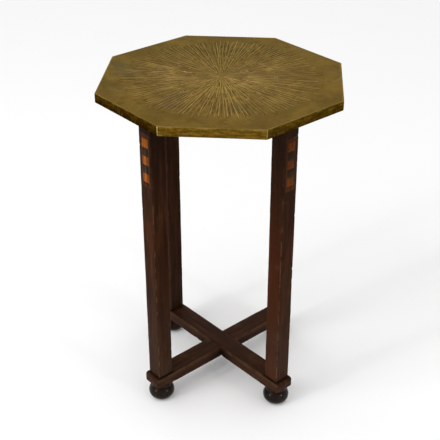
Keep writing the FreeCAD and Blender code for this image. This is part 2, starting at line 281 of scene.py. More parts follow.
# ---- brass tray
def outline_radius(angles, inset):
    """How far the octagon with rounded corners reaches at each angle, moved in by the inset."""
    apothem = APOTHEM - inset
    corner = max(RIM_CORNER - inset, 0.4 * MM)
    from_side = np.abs((angles + HALF_SIDE) % (2 * HALF_SIDE) - HALF_SIDE)
    flat = apothem / np.cos(from_side)
    centre = (apothem - corner) / cos(HALF_SIDE)
    from_corner = HALF_SIDE - from_side
    under_root = np.maximum(corner ** 2 - (centre * np.sin(from_corner)) ** 2, 0)
    rounded = centre * np.cos(from_corner) + np.sqrt(under_root)
    is_flat = apothem * np.tan(from_side) <= (apothem - corner) * tan(HALF_SIDE)
    return np.where(is_flat, flat, rounded)


def outline_angles():
    """One angle a degree, and more of them round each corner."""
    corners = (2 * np.arange(SIDES)[:, None] + 1) * HALF_SIDE
    near = corners + np.radians((-0.4, -0.28, -0.14, 0.0, 0.14, 0.28, 0.4))
    return np.unique(np.append(np.radians(np.arange(360.0)), near))


def pairs(count, share, rng):
    """Marks the lines that are joined to the next one round, never two in a row."""
    joined = rng.random(count) < share
    for k in range(count):
        if joined[k - 1]:
            joined[k] = False
    return joined


def uneven_ends(mean, ragged, joined, rng):
    """One end for each line of a ring, the same for both lines of a joined pair."""
    ends = mean + rng.normal(0, ragged / 2, len(joined))
    for k in np.nonzero(joined)[0]:
        ends[(k + 1) % len(joined)] = ends[k]
    return ends * MM


def dashes_along(start, end, middle, spacing, share, rng):
    """The dark dashes between one line of a ring and the next: angle, start, end and depth of each."""
    dashes = []
    at = start + rng.uniform(2, 12) * MM
    while at < end - 6 * MM:
        length = rng.uniform(5, 18) * MM
        if rng.random() < share:
            angle = middle + rng.normal(0, 0.08) * spacing
            dashes.append((angle, at, min(at + length, end), rng.uniform(0.5, 1.0)))
        at += length + rng.uniform(2, 10) * MM
    return dashes


def ring_of_lines(rng, count, start, end, ragged, tallest, join_in, join_out, dashed):
    """The raised lines of one ring, the arches that join some into hairpins, and the dashes in between."""
    spacing = 2 * pi / count
    joined_out = pairs(count, join_out, rng)
    joined_in = pairs(count, join_in, rng)
    starts = uneven_ends(start, ragged, joined_in, rng)
    ends = uneven_ends(end, ragged, joined_out, rng)
    angles = (np.arange(count) + rng.uniform(0, 1) + rng.normal(0, 0.18, count)) * spacing
    lines = []
    arches = []
    dashes = []
    for k in range(count):
        width = LINE_HALF_WIDTH * rng.uniform(0.6, 1.1)
        height = tallest * rng.uniform(0.5, 1.0)
        lean = rng.normal(0, 0.17) * spacing
        sway = rng.uniform(-0.11, 0.11) * spacing
        wave = rng.uniform(9, 22) * MM
        phase = rng.uniform(0, 6.28)
        lines.append((angles[k], starts[k], ends[k], width, height, lean, sway, wave, phase))
        following = angles[(k + 1) % count] + (2 * pi if k == count - 1 else 0)
        if joined_out[k]:
            arches.append((angles[k], following, ends[k], width, height, 1))
        if joined_in[k]:
            arches.append((angles[k], following, starts[k], width, height, -1))
        dashes.extend(dashes_along(starts[k], ends[k], (angles[k] + following) / 2, spacing, dashed, rng))
    return lines, arches, dashes


def turn_difference(a, b):
    return (a - b + pi) % (2 * pi) - pi


def window(radii, angles, middle, low, high, reach):
    """The part of the grid near one line: its cells, their radii and their distances across the line."""
    rows = np.nonzero((radii > low - 2.5 * reach) & (radii < high + 2.5 * reach))[0]
    half_turn = 3 * reach / radii[rows].min(initial=1.0) + 0.02
    columns = np.nonzero(np.abs(turn_difference(angles, middle)) < half_turn)[0]
    r = radii[rows][:, None]
    return np.ix_(rows, columns), r, turn_difference(angles[columns][None, :], middle) * r


def raise_line(crest, groove, radii, angles, line):
    angle, start, end, half_width, height, lean, sway, wave, phase = line
    cells, r, across = window(radii, angles, angle, start, end, 2 * half_width)
    path = lean * (r - (start + end) / 2) / (40 * MM) + sway * np.sin(r / wave + phase)
    path = np.clip(path, -0.02, 0.02)
    beyond = np.maximum(np.maximum(start - r, r - end), 0) / 2.2
    width = half_width * np.clip(r / (30 * MM), 0.42, 1)
    distance = np.sqrt((across - path * r) ** 2 + beyond ** 2) / width
    uneven = height * (1 + 0.2 * np.sin(r / (0.4 * wave) + 2 * phase))
    profile = uneven * np.clip(1 - distance ** 2, 0, 1) ** 0.8
    crest[cells] = np.maximum(crest[cells], profile)
    beside = np.exp(-((distance - 1.8) / 0.6) ** 2) * (0.5 + 0.5 * np.sin(r / (0.5 * wave) + phase))
    groove[cells] = np.maximum(groove[cells], 0.8 * height * beside)


def raise_arch(crest, radii, angles, arch):
    first, second, end, width, height, outwards = arch
    half_gap = (second - first) / 2 * end
    low = end - 2 * half_gap
    high = end + 2 * half_gap
    cells, r, across = window(radii, angles, (first + second) / 2, low, high, half_gap + 2 * width)
    beyond = (r - end) * outwards
    distance = np.abs(np.sqrt(across ** 2 + (beyond / 1.3) ** 2) - half_gap) / width
    profile = np.where(beyond >= 0, height * np.clip(1 - distance ** 2, 0, 1), 0)
    crest[cells] = np.maximum(crest[cells], profile)


def sink_dash(groove, radii, angles, dash):
    middle, start, end, depth = dash
    cells, r, across = window(radii, angles, middle, start, end, 2 * DASH_HALF_WIDTH)
    beyond = np.maximum(np.maximum(start - r, r - end), 0) / 2
    distance = np.sqrt(across ** 2 + beyond ** 2) / DASH_HALF_WIDTH
    groove[cells] = np.maximum(groove[cells], depth * np.clip(1.3 - distance ** 2, 0, 1))


def sun_height(radii, angles, sun):
    """The relief on a grid of radii by angles: 1 on a crest, 0 on plain ground, below 0 in the grooves."""
    crest = np.zeros((len(radii), len(angles)))
    groove = np.zeros((len(radii), len(angles)))
    for lines, arches, dashes in sun:
        for line in lines:
            raise_line(crest, groove, radii, angles, line)
        for arch in arches:
            raise_arch(crest, radii, angles, arch)
        for dash in dashes:
            sink_dash(groove, radii, angles, dash)
    return np.minimum(crest, 1) - 0.4 * groove * np.clip(1 - 4 * crest, 0, 1)


def tray_top_rings():
    """Rings of the top surface from the middle outwards: angles, x, y and the relief value."""
    rng = np.random.default_rng(11)
    sun = [ring_of_lines(rng, *ring) for ring in RINGS_OF_LINES]
    rings = []
    for divisions, low, high, step in SUN_ZONES:
        angles = np.arange(divisions) * 2 * pi / divisions
        radii = np.linspace(low, high, round((high - low) / step) + 1) * MM
        for radius, row in zip(radii, sun_height(radii, angles, sun)):
            x = SUN_X + radius * np.cos(angles)
            y = SUN_Y + radius * np.sin(angles)
            rings.append((angles, x, y, row))
    angles = outline_angles()
    edge = outline_radius(angles, RIM_EDGE)
    circle_x = SUN_X + SUN_EDGE * np.cos(angles)
    circle_y = SUN_Y + SUN_EDGE * np.sin(angles)
    for share in (0.15, 0.3, 0.45, 0.6, 0.75, 0.9, 1.0):
        x = circle_x * (1 - share) + edge * np.cos(angles) * share
        y = circle_y * (1 - share) + edge * np.sin(angles) * share
        rings.append((angles, x, y, np.zeros_like(x)))
    return rings


def ground_height(x, y):
    """The hand-beaten ground: a little below the crests, rising to the rim's edge."""
    angles = np.arctan2(y, x)
    to_edge = outline_radius(angles, RIM_EDGE) - np.hypot(x, y)
    inside = np.clip(to_edge / (9 * MM), 0, 1)
    beaten = 0.10 * MM * ripples(x, y, 34 * MM, 3) + 0.05 * MM * ripples(x, y, 13 * MM, 4)
    return TOP + inside * (beaten * 0.8 - GROUND_DEPTH)


def rim_profile():
    """The rim from the top edge down, round the lip and back up inside: inset and height."""
    r = RIM_EDGE
    lip_end = SHEET + LIP_WIDTH
    inside = LIP_BOTTOM + SHEET
    profile = [(r - r * sin(a), TOP - r + r * cos(a)) for a in np.radians((22.5, 45, 67.5, 90))]
    profile += [(0.0, z) for z in np.linspace(TOP - r, LIP_BOTTOM + r, 6)[1:]]
    profile += [(r - r * cos(a), LIP_BOTTOM + r - r * sin(a)) for a in np.radians((30, 60, 90))]
    profile += [(inset, LIP_BOTTOM) for inset in np.linspace(r, lip_end, 4)[1:]]
    return [*profile, (lip_end, inside), (SHEET, inside), (SHEET, TOP - SHEET)]


class Sheet:
    """The tray's mesh as it grows ring by ring, with the values that its material reads at each vertex."""

    def __init__(self):
        self.vertices = []
        self.faces = []
        self.values = {"relief": [], "edge_wear_and_sheen": [], "rim_patina": []}

    def add_ring(self, x, y, z, relief=0.0, wear_and_sheen=0.0, patina=0.0):
        start = len(self.vertices)
        self.vertices.extend(zip(x, y, z))
        for values, value in zip(self.values.values(), (relief, wear_and_sheen, patina)):
            values.extend(np.zeros(len(x)) + value)
        return list(range(start, len(self.vertices)))


def add_top(sheet):
    """The chased top. Returns its last ring, which is the rim's upper edge, and the angles of that ring."""
    pole = sheet.add_ring([SUN_X], [SUN_Y], [TOP - 0.3 * GROUND_DEPTH], 0.5)[0]
    previous = None
    previous_angles = None
    for angles, x, y, relief in tray_top_rings():
        z = np.minimum(ground_height(x, y) + relief * GROUND_DEPTH, TOP)
        ring = sheet.add_ring(x, y, z, relief)
        if previous is None:
            for k in range(len(ring)):
                sheet.faces.append((pole, ring[k], ring[(k + 1) % len(ring)]))
        else:
            bridge(sheet.faces, previous, previous_angles, ring, angles)
        previous = ring
        previous_angles = angles
    return previous, previous_angles


def rim_wear_and_sheen(inset, z):
    """How rubbed the rim is, with a painted highlight along its rolled edges: fully at its two edges, and not
    at all under the tray.
    """
    if inset >= 2 * MM:
        return 0.0
    return max(0.0, 1 - (TOP - z) / (1.6 * MM), 1 - (z - LIP_BOTTOM) / (1.8 * MM))


def add_rim(sheet, previous, angles):
    """The rim with its shallow dents, the lip, and the inside of the sheet."""
    top_z = np.array([sheet.vertices[k][2] for k in previous])
    side = np.round(angles / (2 * HALF_SIDE)).astype(int) % SIDES
    patina = 1 + np.array(RIM_PATINA_BY_SIDE)[side]
    sheet.values["edge_wear_and_sheen"][previous[0]:previous[-1] + 1] = [1.0] * len(previous)
    for inset, z in rim_profile():
        reach = outline_radius(angles, inset)
        x = reach * np.cos(angles)
        y = reach * np.sin(angles)
        if inset < SHEET / 2:
            dents = RIM_DENT * (1 + np.clip(ripples(x, y, 40 * MM, 8), -1, 1)) / 2
            dents = dents * min(1.0, (TOP - z) / (4 * MM))
            x = x - dents * np.cos(angles)
            y = y - dents * np.sin(angles)
        heights = np.minimum(np.full_like(x, z), top_z if z > TOP - 0.2 * MM else z)
        ring = sheet.add_ring(x, y, heights, wear_and_sheen=rim_wear_and_sheen(inset, z), patina=patina)
        bridge(sheet.faces, previous, angles, ring, angles)
        previous = ring
    sheet.faces.append(tuple(previous))


def brass_tray():
    sheet = Sheet()
    edge, angles = add_top(sheet)
    add_rim(sheet, edge, angles)
    tray = new_object("tray_top", sheet.vertices, sheet.faces)
    for name, values in sheet.values.items():
        store(tray, name, values)
    shade(tray, 50)
    return tray


def seam_level(corner, row, phase):
    """One level of a seam: the points across its rounded front and back behind the rim's face."""
    z = SEAM_LOW + (SEAM_HIGH - SEAM_LOW) * row / SEAM_ROWS
    lean = 0.0
    if TOP - z < RIM_EDGE:
        lean = RIM_EDGE - sqrt(RIM_EDGE ** 2 - (RIM_EDGE - TOP + z) ** 2)
    half_turn = (0.19 + 0.04 * sin(3.1 * row / SEAM_ROWS * pi + phase)) * (1 - 0.35 * lean / MM)
    proud = SEAM_PROUD * (0.8 + 0.2 * sin(row * 1.7 + phase))
    share = np.linspace(-1, 1, SEAM_STEPS + 1)
    rise = np.append(proud * (1 - share ** 2), np.full_like(share, -SEAM_ROOT))
    turn = corner + np.append(share, -share) * half_turn
    reach = RIM_CORNER - lean + rise
    centre = (APOTHEM - RIM_CORNER) / cos(HALF_SIDE)
    x = centre * cos(corner) + reach * np.cos(turn)
    y = centre * sin(corner) + reach * np.sin(turn)
    return list(zip(x, y, np.full_like(x, z)))


def rim_seams():
    """A filed bead of solder down each corner of the rim, rubbed brighter at the top of some corners; the
    brightest, at the top of the front left corner, is rubbed solder with a painted glint.
    """
    rng = np.random.default_rng(5)
    vertices = []
    polish_and_glint = []
    faces = []
    loop = 2 * (SEAM_STEPS + 1)
    for side in range(SIDES):
        phase = rng.uniform(0, 2 * pi)
        faces.extend(tube_faces(len(vertices), SEAM_ROWS + 1, loop))
        for row in range(SEAM_ROWS + 1):
            level = seam_level((2 * side + 1) * HALF_SIDE, row, phase)
            to_top = TOP - level[0][2]
            vertices.extend(level)
            polish_and_glint.extend([SEAM_POLISH_AND_GLINT_BY_CORNER[side] * max(0.16, 1 - to_top / (4 * MM))] * loop)
    seams = new_object("rim_seams", vertices, faces)
    store(seams, "polish_and_glint", polish_and_glint)
    shade(seams, 60)
    return seams


# ---- lengths of wood
def rounded_section(half_y, low_z, high_z, radii, flat_steps=6, arc_steps=4):
    """Points and outward directions round a rectangle whose four corners have their own radii."""
    arcs = []
    for quarter, radius in enumerate(radii):
        y = half_y - radius if quarter < 2 else radius - half_y
        z = high_z - radius if quarter in (1, 2) else low_z + radius
        turns = [radians(90 * (quarter - 1 + k / arc_steps)) for k in range(arc_steps + 1)]
        outs = [(cos(turn), sin(turn)) for turn in turns]
        arcs.append([(y + radius * out[0], z + radius * out[1], out) for out in outs])
    points = []
    for arc, following in zip(arcs, arcs[1:] + arcs[:1]):
        points += arc
        y, z, out = arc[-1]
        next_y, next_z, _ = following[0]
        for k in range(1, flat_steps):
            share = k / flat_steps
            points.append((y * (1 - share) + next_y * share, z * (1 - share) + next_z * share, out))
    return points


def worn_radii(x, radius, seed):
    """The radius of each of the four arrises at one place along a piece, with wear and a few nicks."""
    radii = []
    for corner in range(4):
        place_on_edge = Vector((x * 38, corner * 7.3, seed * 3.1))
        worn = 1 + 0.45 * noise.noise(place_on_edge)
        nick = max(0.0, noise.noise(place_on_edge * 4 + Vector((9, 9, 9))) - 0.42) * 5
        radii.append(radius * (worn + nick))
    return radii


def length_of_wood(name, rows, matrix, seed, calm=None):
    """Lofts wood through rows of (x, half width, low, high, corner radius). Its faces are a little wavy, but
    stay true inside the calm range of x."""
    vertices = []
    for x, half_y, low_z, high_z, radius in rows:
        keep = 1.0
        if calm:
            outside = max(calm[0] - x, x - calm[1], 0)
            keep = min(1.0, outside / (12 * MM))
        for y, z, out in rounded_section(half_y, low_z, high_z, worn_radii(x, radius, seed)):
            at = Vector((x * 14, y * 20, z * 20 + seed * 5.7))
            fine = Vector((x * 70, y * 60, z * 60 + seed * 2.9))
            move = keep * WAVINESS * (noise.noise(at) + 0.35 * noise.noise(fine) - 0.5)
            vertices.append(matrix @ Vector((x, y + out[0] * move, z + out[1] * move)))
    piece = new_object(name, vertices, tube_faces(0, len(rows), len(vertices) // len(rows)))
    normals = bmesh.new()
    normals.from_mesh(piece.data)
    bmesh.ops.recalc_face_normals(normals, faces=normals.faces)
    normals.to_mesh(piece.data)
    normals.free()
    return piece


def leg(corner, angle, seed):
    stand = stand_matrix(angle)
    # The loft runs along its local X, so local X goes up, Y along the diagonal's normal and Z outwards.
    upright = stand @ Matrix(((0, 0, 1, LEG_RADIUS), (0, -1, 0, 0), (1, 0, 0, 0), (0, 0, 0, 1)))
    half = LEG_WIDTH / 2
    chamfer = LEG_END_CHAMFER
    rows = [(LEG_FOOT, half - chamfer, -half + chamfer, half - chamfer, LEG_ARRIS)]
    for z in [*np.arange(LEG_FOOT + chamfer, LEG_HEAD, ROW_SPACING), LEG_HEAD]:
        rows.append((float(z), half, -half, half, LEG_ARRIS))
    calm = (inlay_low.z - 2 * MM, inlay_high.z + 2 * MM)
    piece = length_of_wood("leg_piece_" + corner, rows, upright, seed, calm)
    outer = LEG_RADIUS + half
    inner = LEG_RADIUS - half
    middle = LEG_HEAD - RAIL_HEIGHT / 2
    cut(piece, [
        box_cutter(stand, (outer - INLAY_DEPTH, -INLAY_WIDTH / 2, inlay_low.z),
                   (outer + MM, INLAY_WIDTH / 2, inlay_high.z)),
        box_cutter(stand, (inner - MM, -TENON_WIDTH / 2, middle - TENON_HEIGHT / 2),
                   (inner + TENON_LENGTH, TENON_WIDTH / 2, middle + TENON_HEIGHT / 2)),
        rod_cutter(stand, LEG_RADIUS, HOLE_RADIUS, LEG_FOOT - MM, SPIGOT_TOP),
    ])
    shade(piece)
    return piece


def bar_row(x, into_end=0.0):
    """One cross-section of a stretcher bar. into_end is how far it lies inside the rounding of the end."""
    def drop(radius):
        share = max(0.0, into_end - (BAR_END_LOW - radius))
        return radius - sqrt(max(radius ** 2 - share ** 2, 0))
    return (float(x), BAR_WIDTH / 2 - drop(BAR_END_SIDE), BAR_LOW + drop(BAR_END_LOW),
            BAR_HIGH - drop(BAR_END_TOP), BAR_ARRIS)


def stretcher_bar(name, angle, lap_from_top, seed):
    stand = stand_matrix(angle)
    half = BAR_WIDTH / 2
    straight = BAR_REACH - BAR_END_LOW
    steps = [BAR_END_LOW * sin(radians(a)) for a in (90, 78, 66, 54, 42, 30, 15)]
    rows = [bar_row(-straight - into, into) for into in steps]
    rows += [bar_row(x) for x in np.linspace(-straight, straight, BAR_ROWS)]
    rows += [bar_row(straight + into, into) for into in steps[::-1]]
    piece = length_of_wood(name, rows, stand, seed)
    middle = (BAR_LOW + BAR_HIGH) / 2
    gap = half + LAP_CLEARANCE
    lap_low, lap_high = (middle, BAR_HIGH + MM) if lap_from_top else (BAR_LOW - MM, middle)
    cutters = [box_cutter(stand, (-gap, -half - MM, lap_low), (gap, half + MM, lap_high))]
    for x in (-LEG_RADIUS, LEG_RADIUS):
        cutters.append(rod_cutter(stand, x, HOLE_RADIUS, BAR_LOW - MM, BAR_HIGH + MM))
    cut(piece, cutters)
    shade(piece)
    return piece


def foot_profile():
    """Radius and height up the turned foot, from the middle of its base to the tip of its spigot."""
    collar_low = BAR_LOW - FOOT_COLLAR_HEIGHT
    semi = FOOT_BELLY_SEMI
    quirk = collar_low - 0.5 * MM
    start = -asin(FOOT_BELLY_HEIGHT / semi)
    end = asin((quirk - FOOT_BELLY_HEIGHT) / semi)
    belly = []
    for angle in [*np.linspace(start, end, 34), *(FOOT_LINE_ANGLE + np.radians((-1.8, -1.0, 0.0, 1.0, 1.8)))]:
        from_line = abs(degrees(angle - FOOT_LINE_ANGLE))
        sunk = FOOT_LINE_DEPTH * max(0.0, 1 - from_line / 1.4)
        belly.append(((FOOT_RADIUS - sunk) * cos(angle), FOOT_BELLY_HEIGHT + semi * sin(angle)))
    belly.sort(key=lambda point: point[1])
    points = [(0.0, 0.4 * MM), (FOOT_BASE_RADIUS - MM, 0.4 * MM), (FOOT_BASE_RADIUS, 0.0), *belly]
    neck = points[-1][0] - FOOT_QUIRK
    points += [(neck, quirk + 0.2 * MM), (neck, collar_low)]
    for angle in np.radians(np.linspace(-90, 90, 13)):
        out = FOOT_COLLAR_RADIUS - FOOT_COLLAR_BULGE * (1 - cos(angle))
        points.append((out, collar_low + FOOT_COLLAR_HEIGHT / 2 * (1 + sin(angle))))
    points += [(SPIGOT_RADIUS + 0.4 * MM, BAR_LOW), (SPIGOT_RADIUS, BAR_LOW + 0.4 * MM)]
    points += [(SPIGOT_RADIUS, SPIGOT_TOP - MM), (SPIGOT_RADIUS - MM, SPIGOT_TOP), (0.0, SPIGOT_TOP)]
    return points


def foot_ring(radius, z, seed):
    """One level of a foot round its own axis, a little out of true. It is one point where the radius is 0."""
    if radius == 0.0:
        return [(0.0, 0.0, z)]
    ring = []
    for k in range(FOOT_SEGMENTS):
        turn = 2 * pi * k / FOOT_SEGMENTS
        around = Vector((cos(turn) * 1.7, sin(turn) * 1.7, z * 60 + seed))
        reach = radius
        if radius > SPIGOT_RADIUS:
            reach = radius * (1 - 0.004 * (1 + noise.noise(around)))
        ring.append((reach * cos(turn), reach * sin(turn), z))
    return ring


def foot(corner, angle, seed):
    stand = stand_matrix(angle)
    vertices = []
    faces = []
    rings = []
    for radius, z in foot_profile():
        ring = foot_ring(radius, z, seed)
        rings.append(range(len(vertices), len(vertices) + len(ring)))
        vertices.extend(stand @ Vector((LEG_RADIUS + x, y, height)) for x, y, height in ring)
    for low, high in zip(rings, rings[1:]):
        for k in range(FOOT_SEGMENTS):
            j = (k + 1) % FOOT_SEGMENTS
            if len(low) == 1:
                faces.append((low[0], high[j], high[k]))
            elif len(high) == 1:
                faces.append((low[k], low[j], high[0]))
            else:
                faces.append((low[k], low[j], high[j], high[k]))
    piece = new_object("foot_piece_" + corner, vertices, faces)
    shade(piece, 50)
    return piece


def eased_copy(node, name, width):
    """The CAD node's own shape, with its sharp edges eased by a small bevel."""
    work = bmesh.new()
    work.from_mesh(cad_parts[node].data)
    bmesh.ops.remove_doubles(work, verts=work.verts, dist=0.002 * MM)
    bmesh.ops.dissolve_limit(work, angle_limit=radians(1), verts=work.verts, edges=work.edges)
    sharp = [e for e in work.edges if len(e.link_faces) == 2 and e.calc_face_angle() > radians(40)]
    bmesh.ops.bevel(work, geom=sharp, offset=width, segments=2, profile=0.5, affect="EDGES",
                    clamp_overlap=True)
    mesh = bpy.data.meshes.new(name)
    work.to_mesh(mesh)
    work.free()
    piece = link(name, mesh)
    shade(piece, 30)
    return piece


# ---- helpers for materials
class Nodes:
    """A node tree, built from small steps that each return a socket."""

    def __init__(self, tree, coordinates):
        self.tree = tree
        tree.nodes.clear()
        self.place = self.node("TexCoord").outputs[coordinates]
        self.x, self.y, self.z = self.split(self.place)

    def node(self, kind, **fields):
        node = self.tree.nodes.new("ShaderNode" + kind)
        for name, value in fields.items():
            setattr(node, name, value)
        return node

    def set(self, socket, value):
        """Links a socket to another one, or gives it a constant."""
        if isinstance(value, bpy.types.NodeSocket):
            self.tree.links.new(value, socket)
        elif socket.type == "RGBA":
            socket.default_value = (*value, 1)
        else:
            socket.default_value = value

    def fill(self, node, **values):
        for name, value in values.items():
            self.set(node.inputs[name.replace("_", " ")], value)

    def math(self, operation, first, *others, clamp=False):
        """One operation over all the values, from the first to the last."""
        for other in others or (0.0,):
            node = self.node("Math", operation=operation, use_clamp=clamp)
            self.set(node.inputs[0], first)
            self.set(node.inputs[1], other)
            first = node.outputs[0]
        return first

    def times(self, *values):
        return self.math("MULTIPLY", *values)

    def smooth(self, value, low, high, end=1.0, start=0.0):
        """Eases from start to end while the value goes from low to high, which may lie below low."""
        node = self.node("MapRange", interpolation_type="SMOOTHSTEP")
        for socket, number in zip(node.inputs, (value, low, high, start, end)):
            self.set(socket, number)
        return node.outputs[0]

    def moved(self, scale=(1, 1, 1), turn=0.0):
        """The place, turned about Z and then stretched."""
        vector = self.place
        for field, value in (("Rotation", (0, 0, turn)), ("Scale", scale)):
            node = self.node("Mapping")
            self.fill(node, Vector=vector, **{field: value})
            vector = node.outputs[0]
        return vector

    def noise(self, scale, detail, roughness=0.6, vector=None, distortion=0.0):
        node = self.node("TexNoise")
        self.fill(node, Vector=vector or self.place, Scale=scale, Detail=detail, Roughness=roughness,
                  Distortion=distortion)
        return node.outputs["Fac"]

    def mix(self, share, first, second):
        node = self.node("Mix", data_type="RGBA")
        for index, value in ((0, share), (6, first), (7, second)):
            self.set(node.inputs[index], value)
        return node.outputs[2]

    def washes(self, colour, *washes):
        """Lays colours over one another, each with its own mask."""
        for mask, wash in washes:
            colour = self.mix(mask, colour, wash)
        return colour

    def ramp(self, value, stops):
        node = self.node("ValToRGB")
        elements = node.color_ramp.elements
        while len(elements) < len(stops):
            elements.new(0.5)
        for element, (position, colour) in zip(elements, stops):
            element.position = position
            element.color = (*colour, 1)
        self.fill(node, Fac=value)
        return node.outputs["Color"]

    def attribute(self, name):
        return self.node("Attribute", attribute_name=name).outputs["Fac"]

    def distance_from(self, centre):
        node = self.node("VectorMath", operation="DISTANCE")
        self.set(node.inputs[0], self.place)
        node.inputs[1].default_value = (*centre, TOP)
        return node.outputs["Value"]

    def split(self, vector):
        node = self.node("SeparateXYZ")
        self.fill(node, Vector=vector)
        return node.outputs

    def bump(self, height, depth, strength, below=None):
        node = self.node("Bump")
        self.fill(node, Distance=depth, Strength=strength, Height=height)
        if below:
            self.fill(node, Normal=below)
        return node.outputs[0]


class Look(Nodes):
    """One procedural material."""

    def __init__(self, name):
        self.material = bpy.data.materials.new(name)
        self.material.use_nodes = True
        super().__init__(self.material.node_tree, "Object")

    def finish(self, **values):
        shader = self.node("BsdfPrincipled")
        self.fill(shader, **values)
        self.fill(self.node("OutputMaterial"), Surface=shader.outputs["BSDF"])
        return self.material


# ---- metals
def ground_colour(look, patches, mottle):
    """The brass between the chased lines: golden and brown patches, lightest near the middle."""
    colour = look.ramp(patches, [(0.30, (0.110, 0.064, 0.018)), (0.42, (0.175, 0.104, 0.026)),
                                 (0.57, (0.242, 0.145, 0.036)), (0.69, (0.148, 0.098, 0.034))])
    dull = look.smooth(look.noise(160, 4), 0.40, 0.66, 0.28)
    lighter_middle = look.smooth(look.distance_from((20 * MM, -28 * MM)), 0.20, 0.07, 0.75)
    brown = look.smooth(mottle, 0.50, 0.68, 0.58)
    pale = look.smooth(mottle, 0.47, 0.30, 0.35)
    cloud = look.smooth(look.noise(17, 4, 0.55, distortion=0.3), 0.42, 0.62, 0.50)
    bloom = look.smooth(look.noise(14, 5, distortion=0.8), 0.56, 0.70, 0.46)
    ruddy = look.smooth(look.noise(11.5, 4, 0.6, look.moved((1, 1.4, 1), 0.7), 0.6), 0.50, 0.66, 0.45)
    return look.washes(
        colour, (dull, (0.095, 0.062, 0.020)), (lighter_middle, (0.300, 0.190, 0.055)), (brown, (0.105, 0.052, 0.012)),
        (pale, (0.25, 0.17, 0.048)), (cloud, (0.105, 0.064, 0.021)), (bloom, (0.090, 0.080, 0.054)),
        (ruddy, (0.150, 0.072, 0.028)))


def chased_colour(look, ground):
    """Lays the bright crests and dark hollows of the sunburst over the ground, and darkens the far half and
    its hollows as painted shade. Returns the crests too.
    """
    relief = look.attribute("relief")
    zone = look.noise(8.5, 2, 0.5)
    crest = look.times(look.smooth(relief, 0.15, 0.75), look.smooth(zone, 0.36, 0.60, 0.55, 0.95))
    # Painted shade: a darker far half, with darker hollows there.
    far_shade = look.smooth(look.y, 0.0, 0.16)
    far_hollow_shade = look.times(look.smooth(relief, -0.02, -0.14), far_shade)
    hollow = look.times(look.smooth(relief, -0.04, -0.20), look.smooth(zone, 0.62, 0.40, 0.95, 0.6))
    hollow = look.math("MAXIMUM", hollow, far_hollow_shade)
    near = look.smooth(look.y, -0.165, -0.195, 0.25)
    colour = look.washes(
        ground, (crest, (0.53, 0.365, 0.14)), (hollow, (0.048, 0.025, 0.008)),
        (look.times(far_shade, 0.2), (0.12, 0.082, 0.036)), (near, (0.125, 0.070, 0.018)))
    return colour, crest


def rim_colour(look, patina, crust, low_down):
    """The rim: dark crust on some sides, brighter and darker streaks, and grime towards its lower edge."""
    streaky = look.noise(55, 5, 0.65, look.moved((1, 1, 4)))
    bright = look.times(look.smooth(streaky, 0.48, 0.64), look.smooth(patina, 2.0, 1.2, 0.8, 0.25))
    dark = look.smooth(streaky, 0.49, 0.38, 0.8)
    grimy = look.times(low_down, look.smooth(patina, 1.6, 2.0, 0.6, 0.14))
    return look.washes(
        (0.140, 0.073, 0.005), (crust, (0.048, 0.027, 0.0025)), (bright, (0.220, 0.140, 0.020)),
        (dark, (0.055, 0.028, 0.004)), (grimy, (0.018, 0.011, 0.003)))


def aged_brass():
    look = Look("aged_brass")
    patina = look.attribute("rim_patina")
    patches = look.noise(6.5, 5, distortion=0.5)
    mottle = look.noise(45, 6, 0.62)
    specks = look.noise(420, 3)
    colour, crest = chased_colour(look, ground_colour(look, patches, mottle))
    on_rim = look.smooth(patina, 0.3, 0.9)
    along_rim = look.noise(48, 5, vector=look.moved((1, 1, 2.6)))
    crust = look.math("SUBTRACT", patina, look.smooth(along_rim, 0.35, 0.65, 1.2, 0.8), clamp=True)
    low_down = look.smooth(look.z, TOP - 4 * MM, LIP_BOTTOM + 3 * MM)
    # Lighter rim edges: rubbed brass and a painted highlight along the rolled edges.
    worn = look.smooth(look.attribute("edge_wear_and_sheen"), 0.2, 0.95)
    rubbed_and_sheen = look.times(worn, look.smooth(mottle, 0.36, 0.6, 0.85, 0.25),
                        look.smooth(patina, 1.95, 1.4, 1.0, 0.35), look.smooth(low_down, 0.4, 0.9, 0.1, 1.0))
    streaks = look.smooth(look.noise(1.0, 3, 0.6, look.moved((60, 900, 60), 0.5)), 0.60, 0.66)
    crossed = look.smooth(look.noise(1.0, 3, 0.6, look.moved((1100, 70, 60), -0.35)), 0.62, 0.67)
    scratches = look.math("ADD", streaks, crossed, clamp=True)
    colour = look.washes(
        colour, (on_rim, rim_colour(look, patina, crust, low_down)),
        (look.times(rubbed_and_sheen, 0.6), (0.42, 0.30, 0.10)),
        (look.smooth(specks, 0.60, 0.70, 0.35), (0.07, 0.04, 0.014)),
        (look.times(scratches, 0.18), (0.42, 0.30, 0.11)))
    rough = look.smooth(patches, 0.3, 0.75, 0.52, 0.42)
    rough = look.math("ADD", rough, look.smooth(specks, 0.3, 0.7, 0.05, -0.04),
                      look.times(crest, -0.08), look.times(rubbed_and_sheen, -0.10))
    fine = look.bump(look.math("ADD", look.times(specks, 0.6), scratches), 0.05 * MM, 0.6)
    normal = look.bump(look.noise(95, 3, 0.5), 0.2 * MM, 0.5, fine)
    edge_tint = look.mix(look.times(look.smooth(crust, 0.2, 0.8), on_rim), BRASS_EDGE, CRUST_EDGE)
    return look.finish(Base_Color=colour, Metallic=1.0, Roughness=rough, Normal=normal,
                       Specular_Tint=edge_tint)


def plain_brass(name, colour, rough, dull, polished_and_glint=None):
    look = Look(name)
    mottle = look.noise(260, 5)
    fine = look.noise(2200, 2, 0.5)
    tint = look.mix(look.smooth(mottle, 0.35, 0.68), colour, dull)
    if polished_and_glint:
        tint = look.mix(look.attribute("polish_and_glint"), tint, polished_and_glint)
    roughness = look.smooth(mottle, 0.3, 0.7, rough + 0.16, rough)
    normal = look.bump(fine, 0.04 * MM, 0.6)
    return look.finish(Base_Color=tint, Metallic=1.0, Roughness=roughness, Normal=normal)


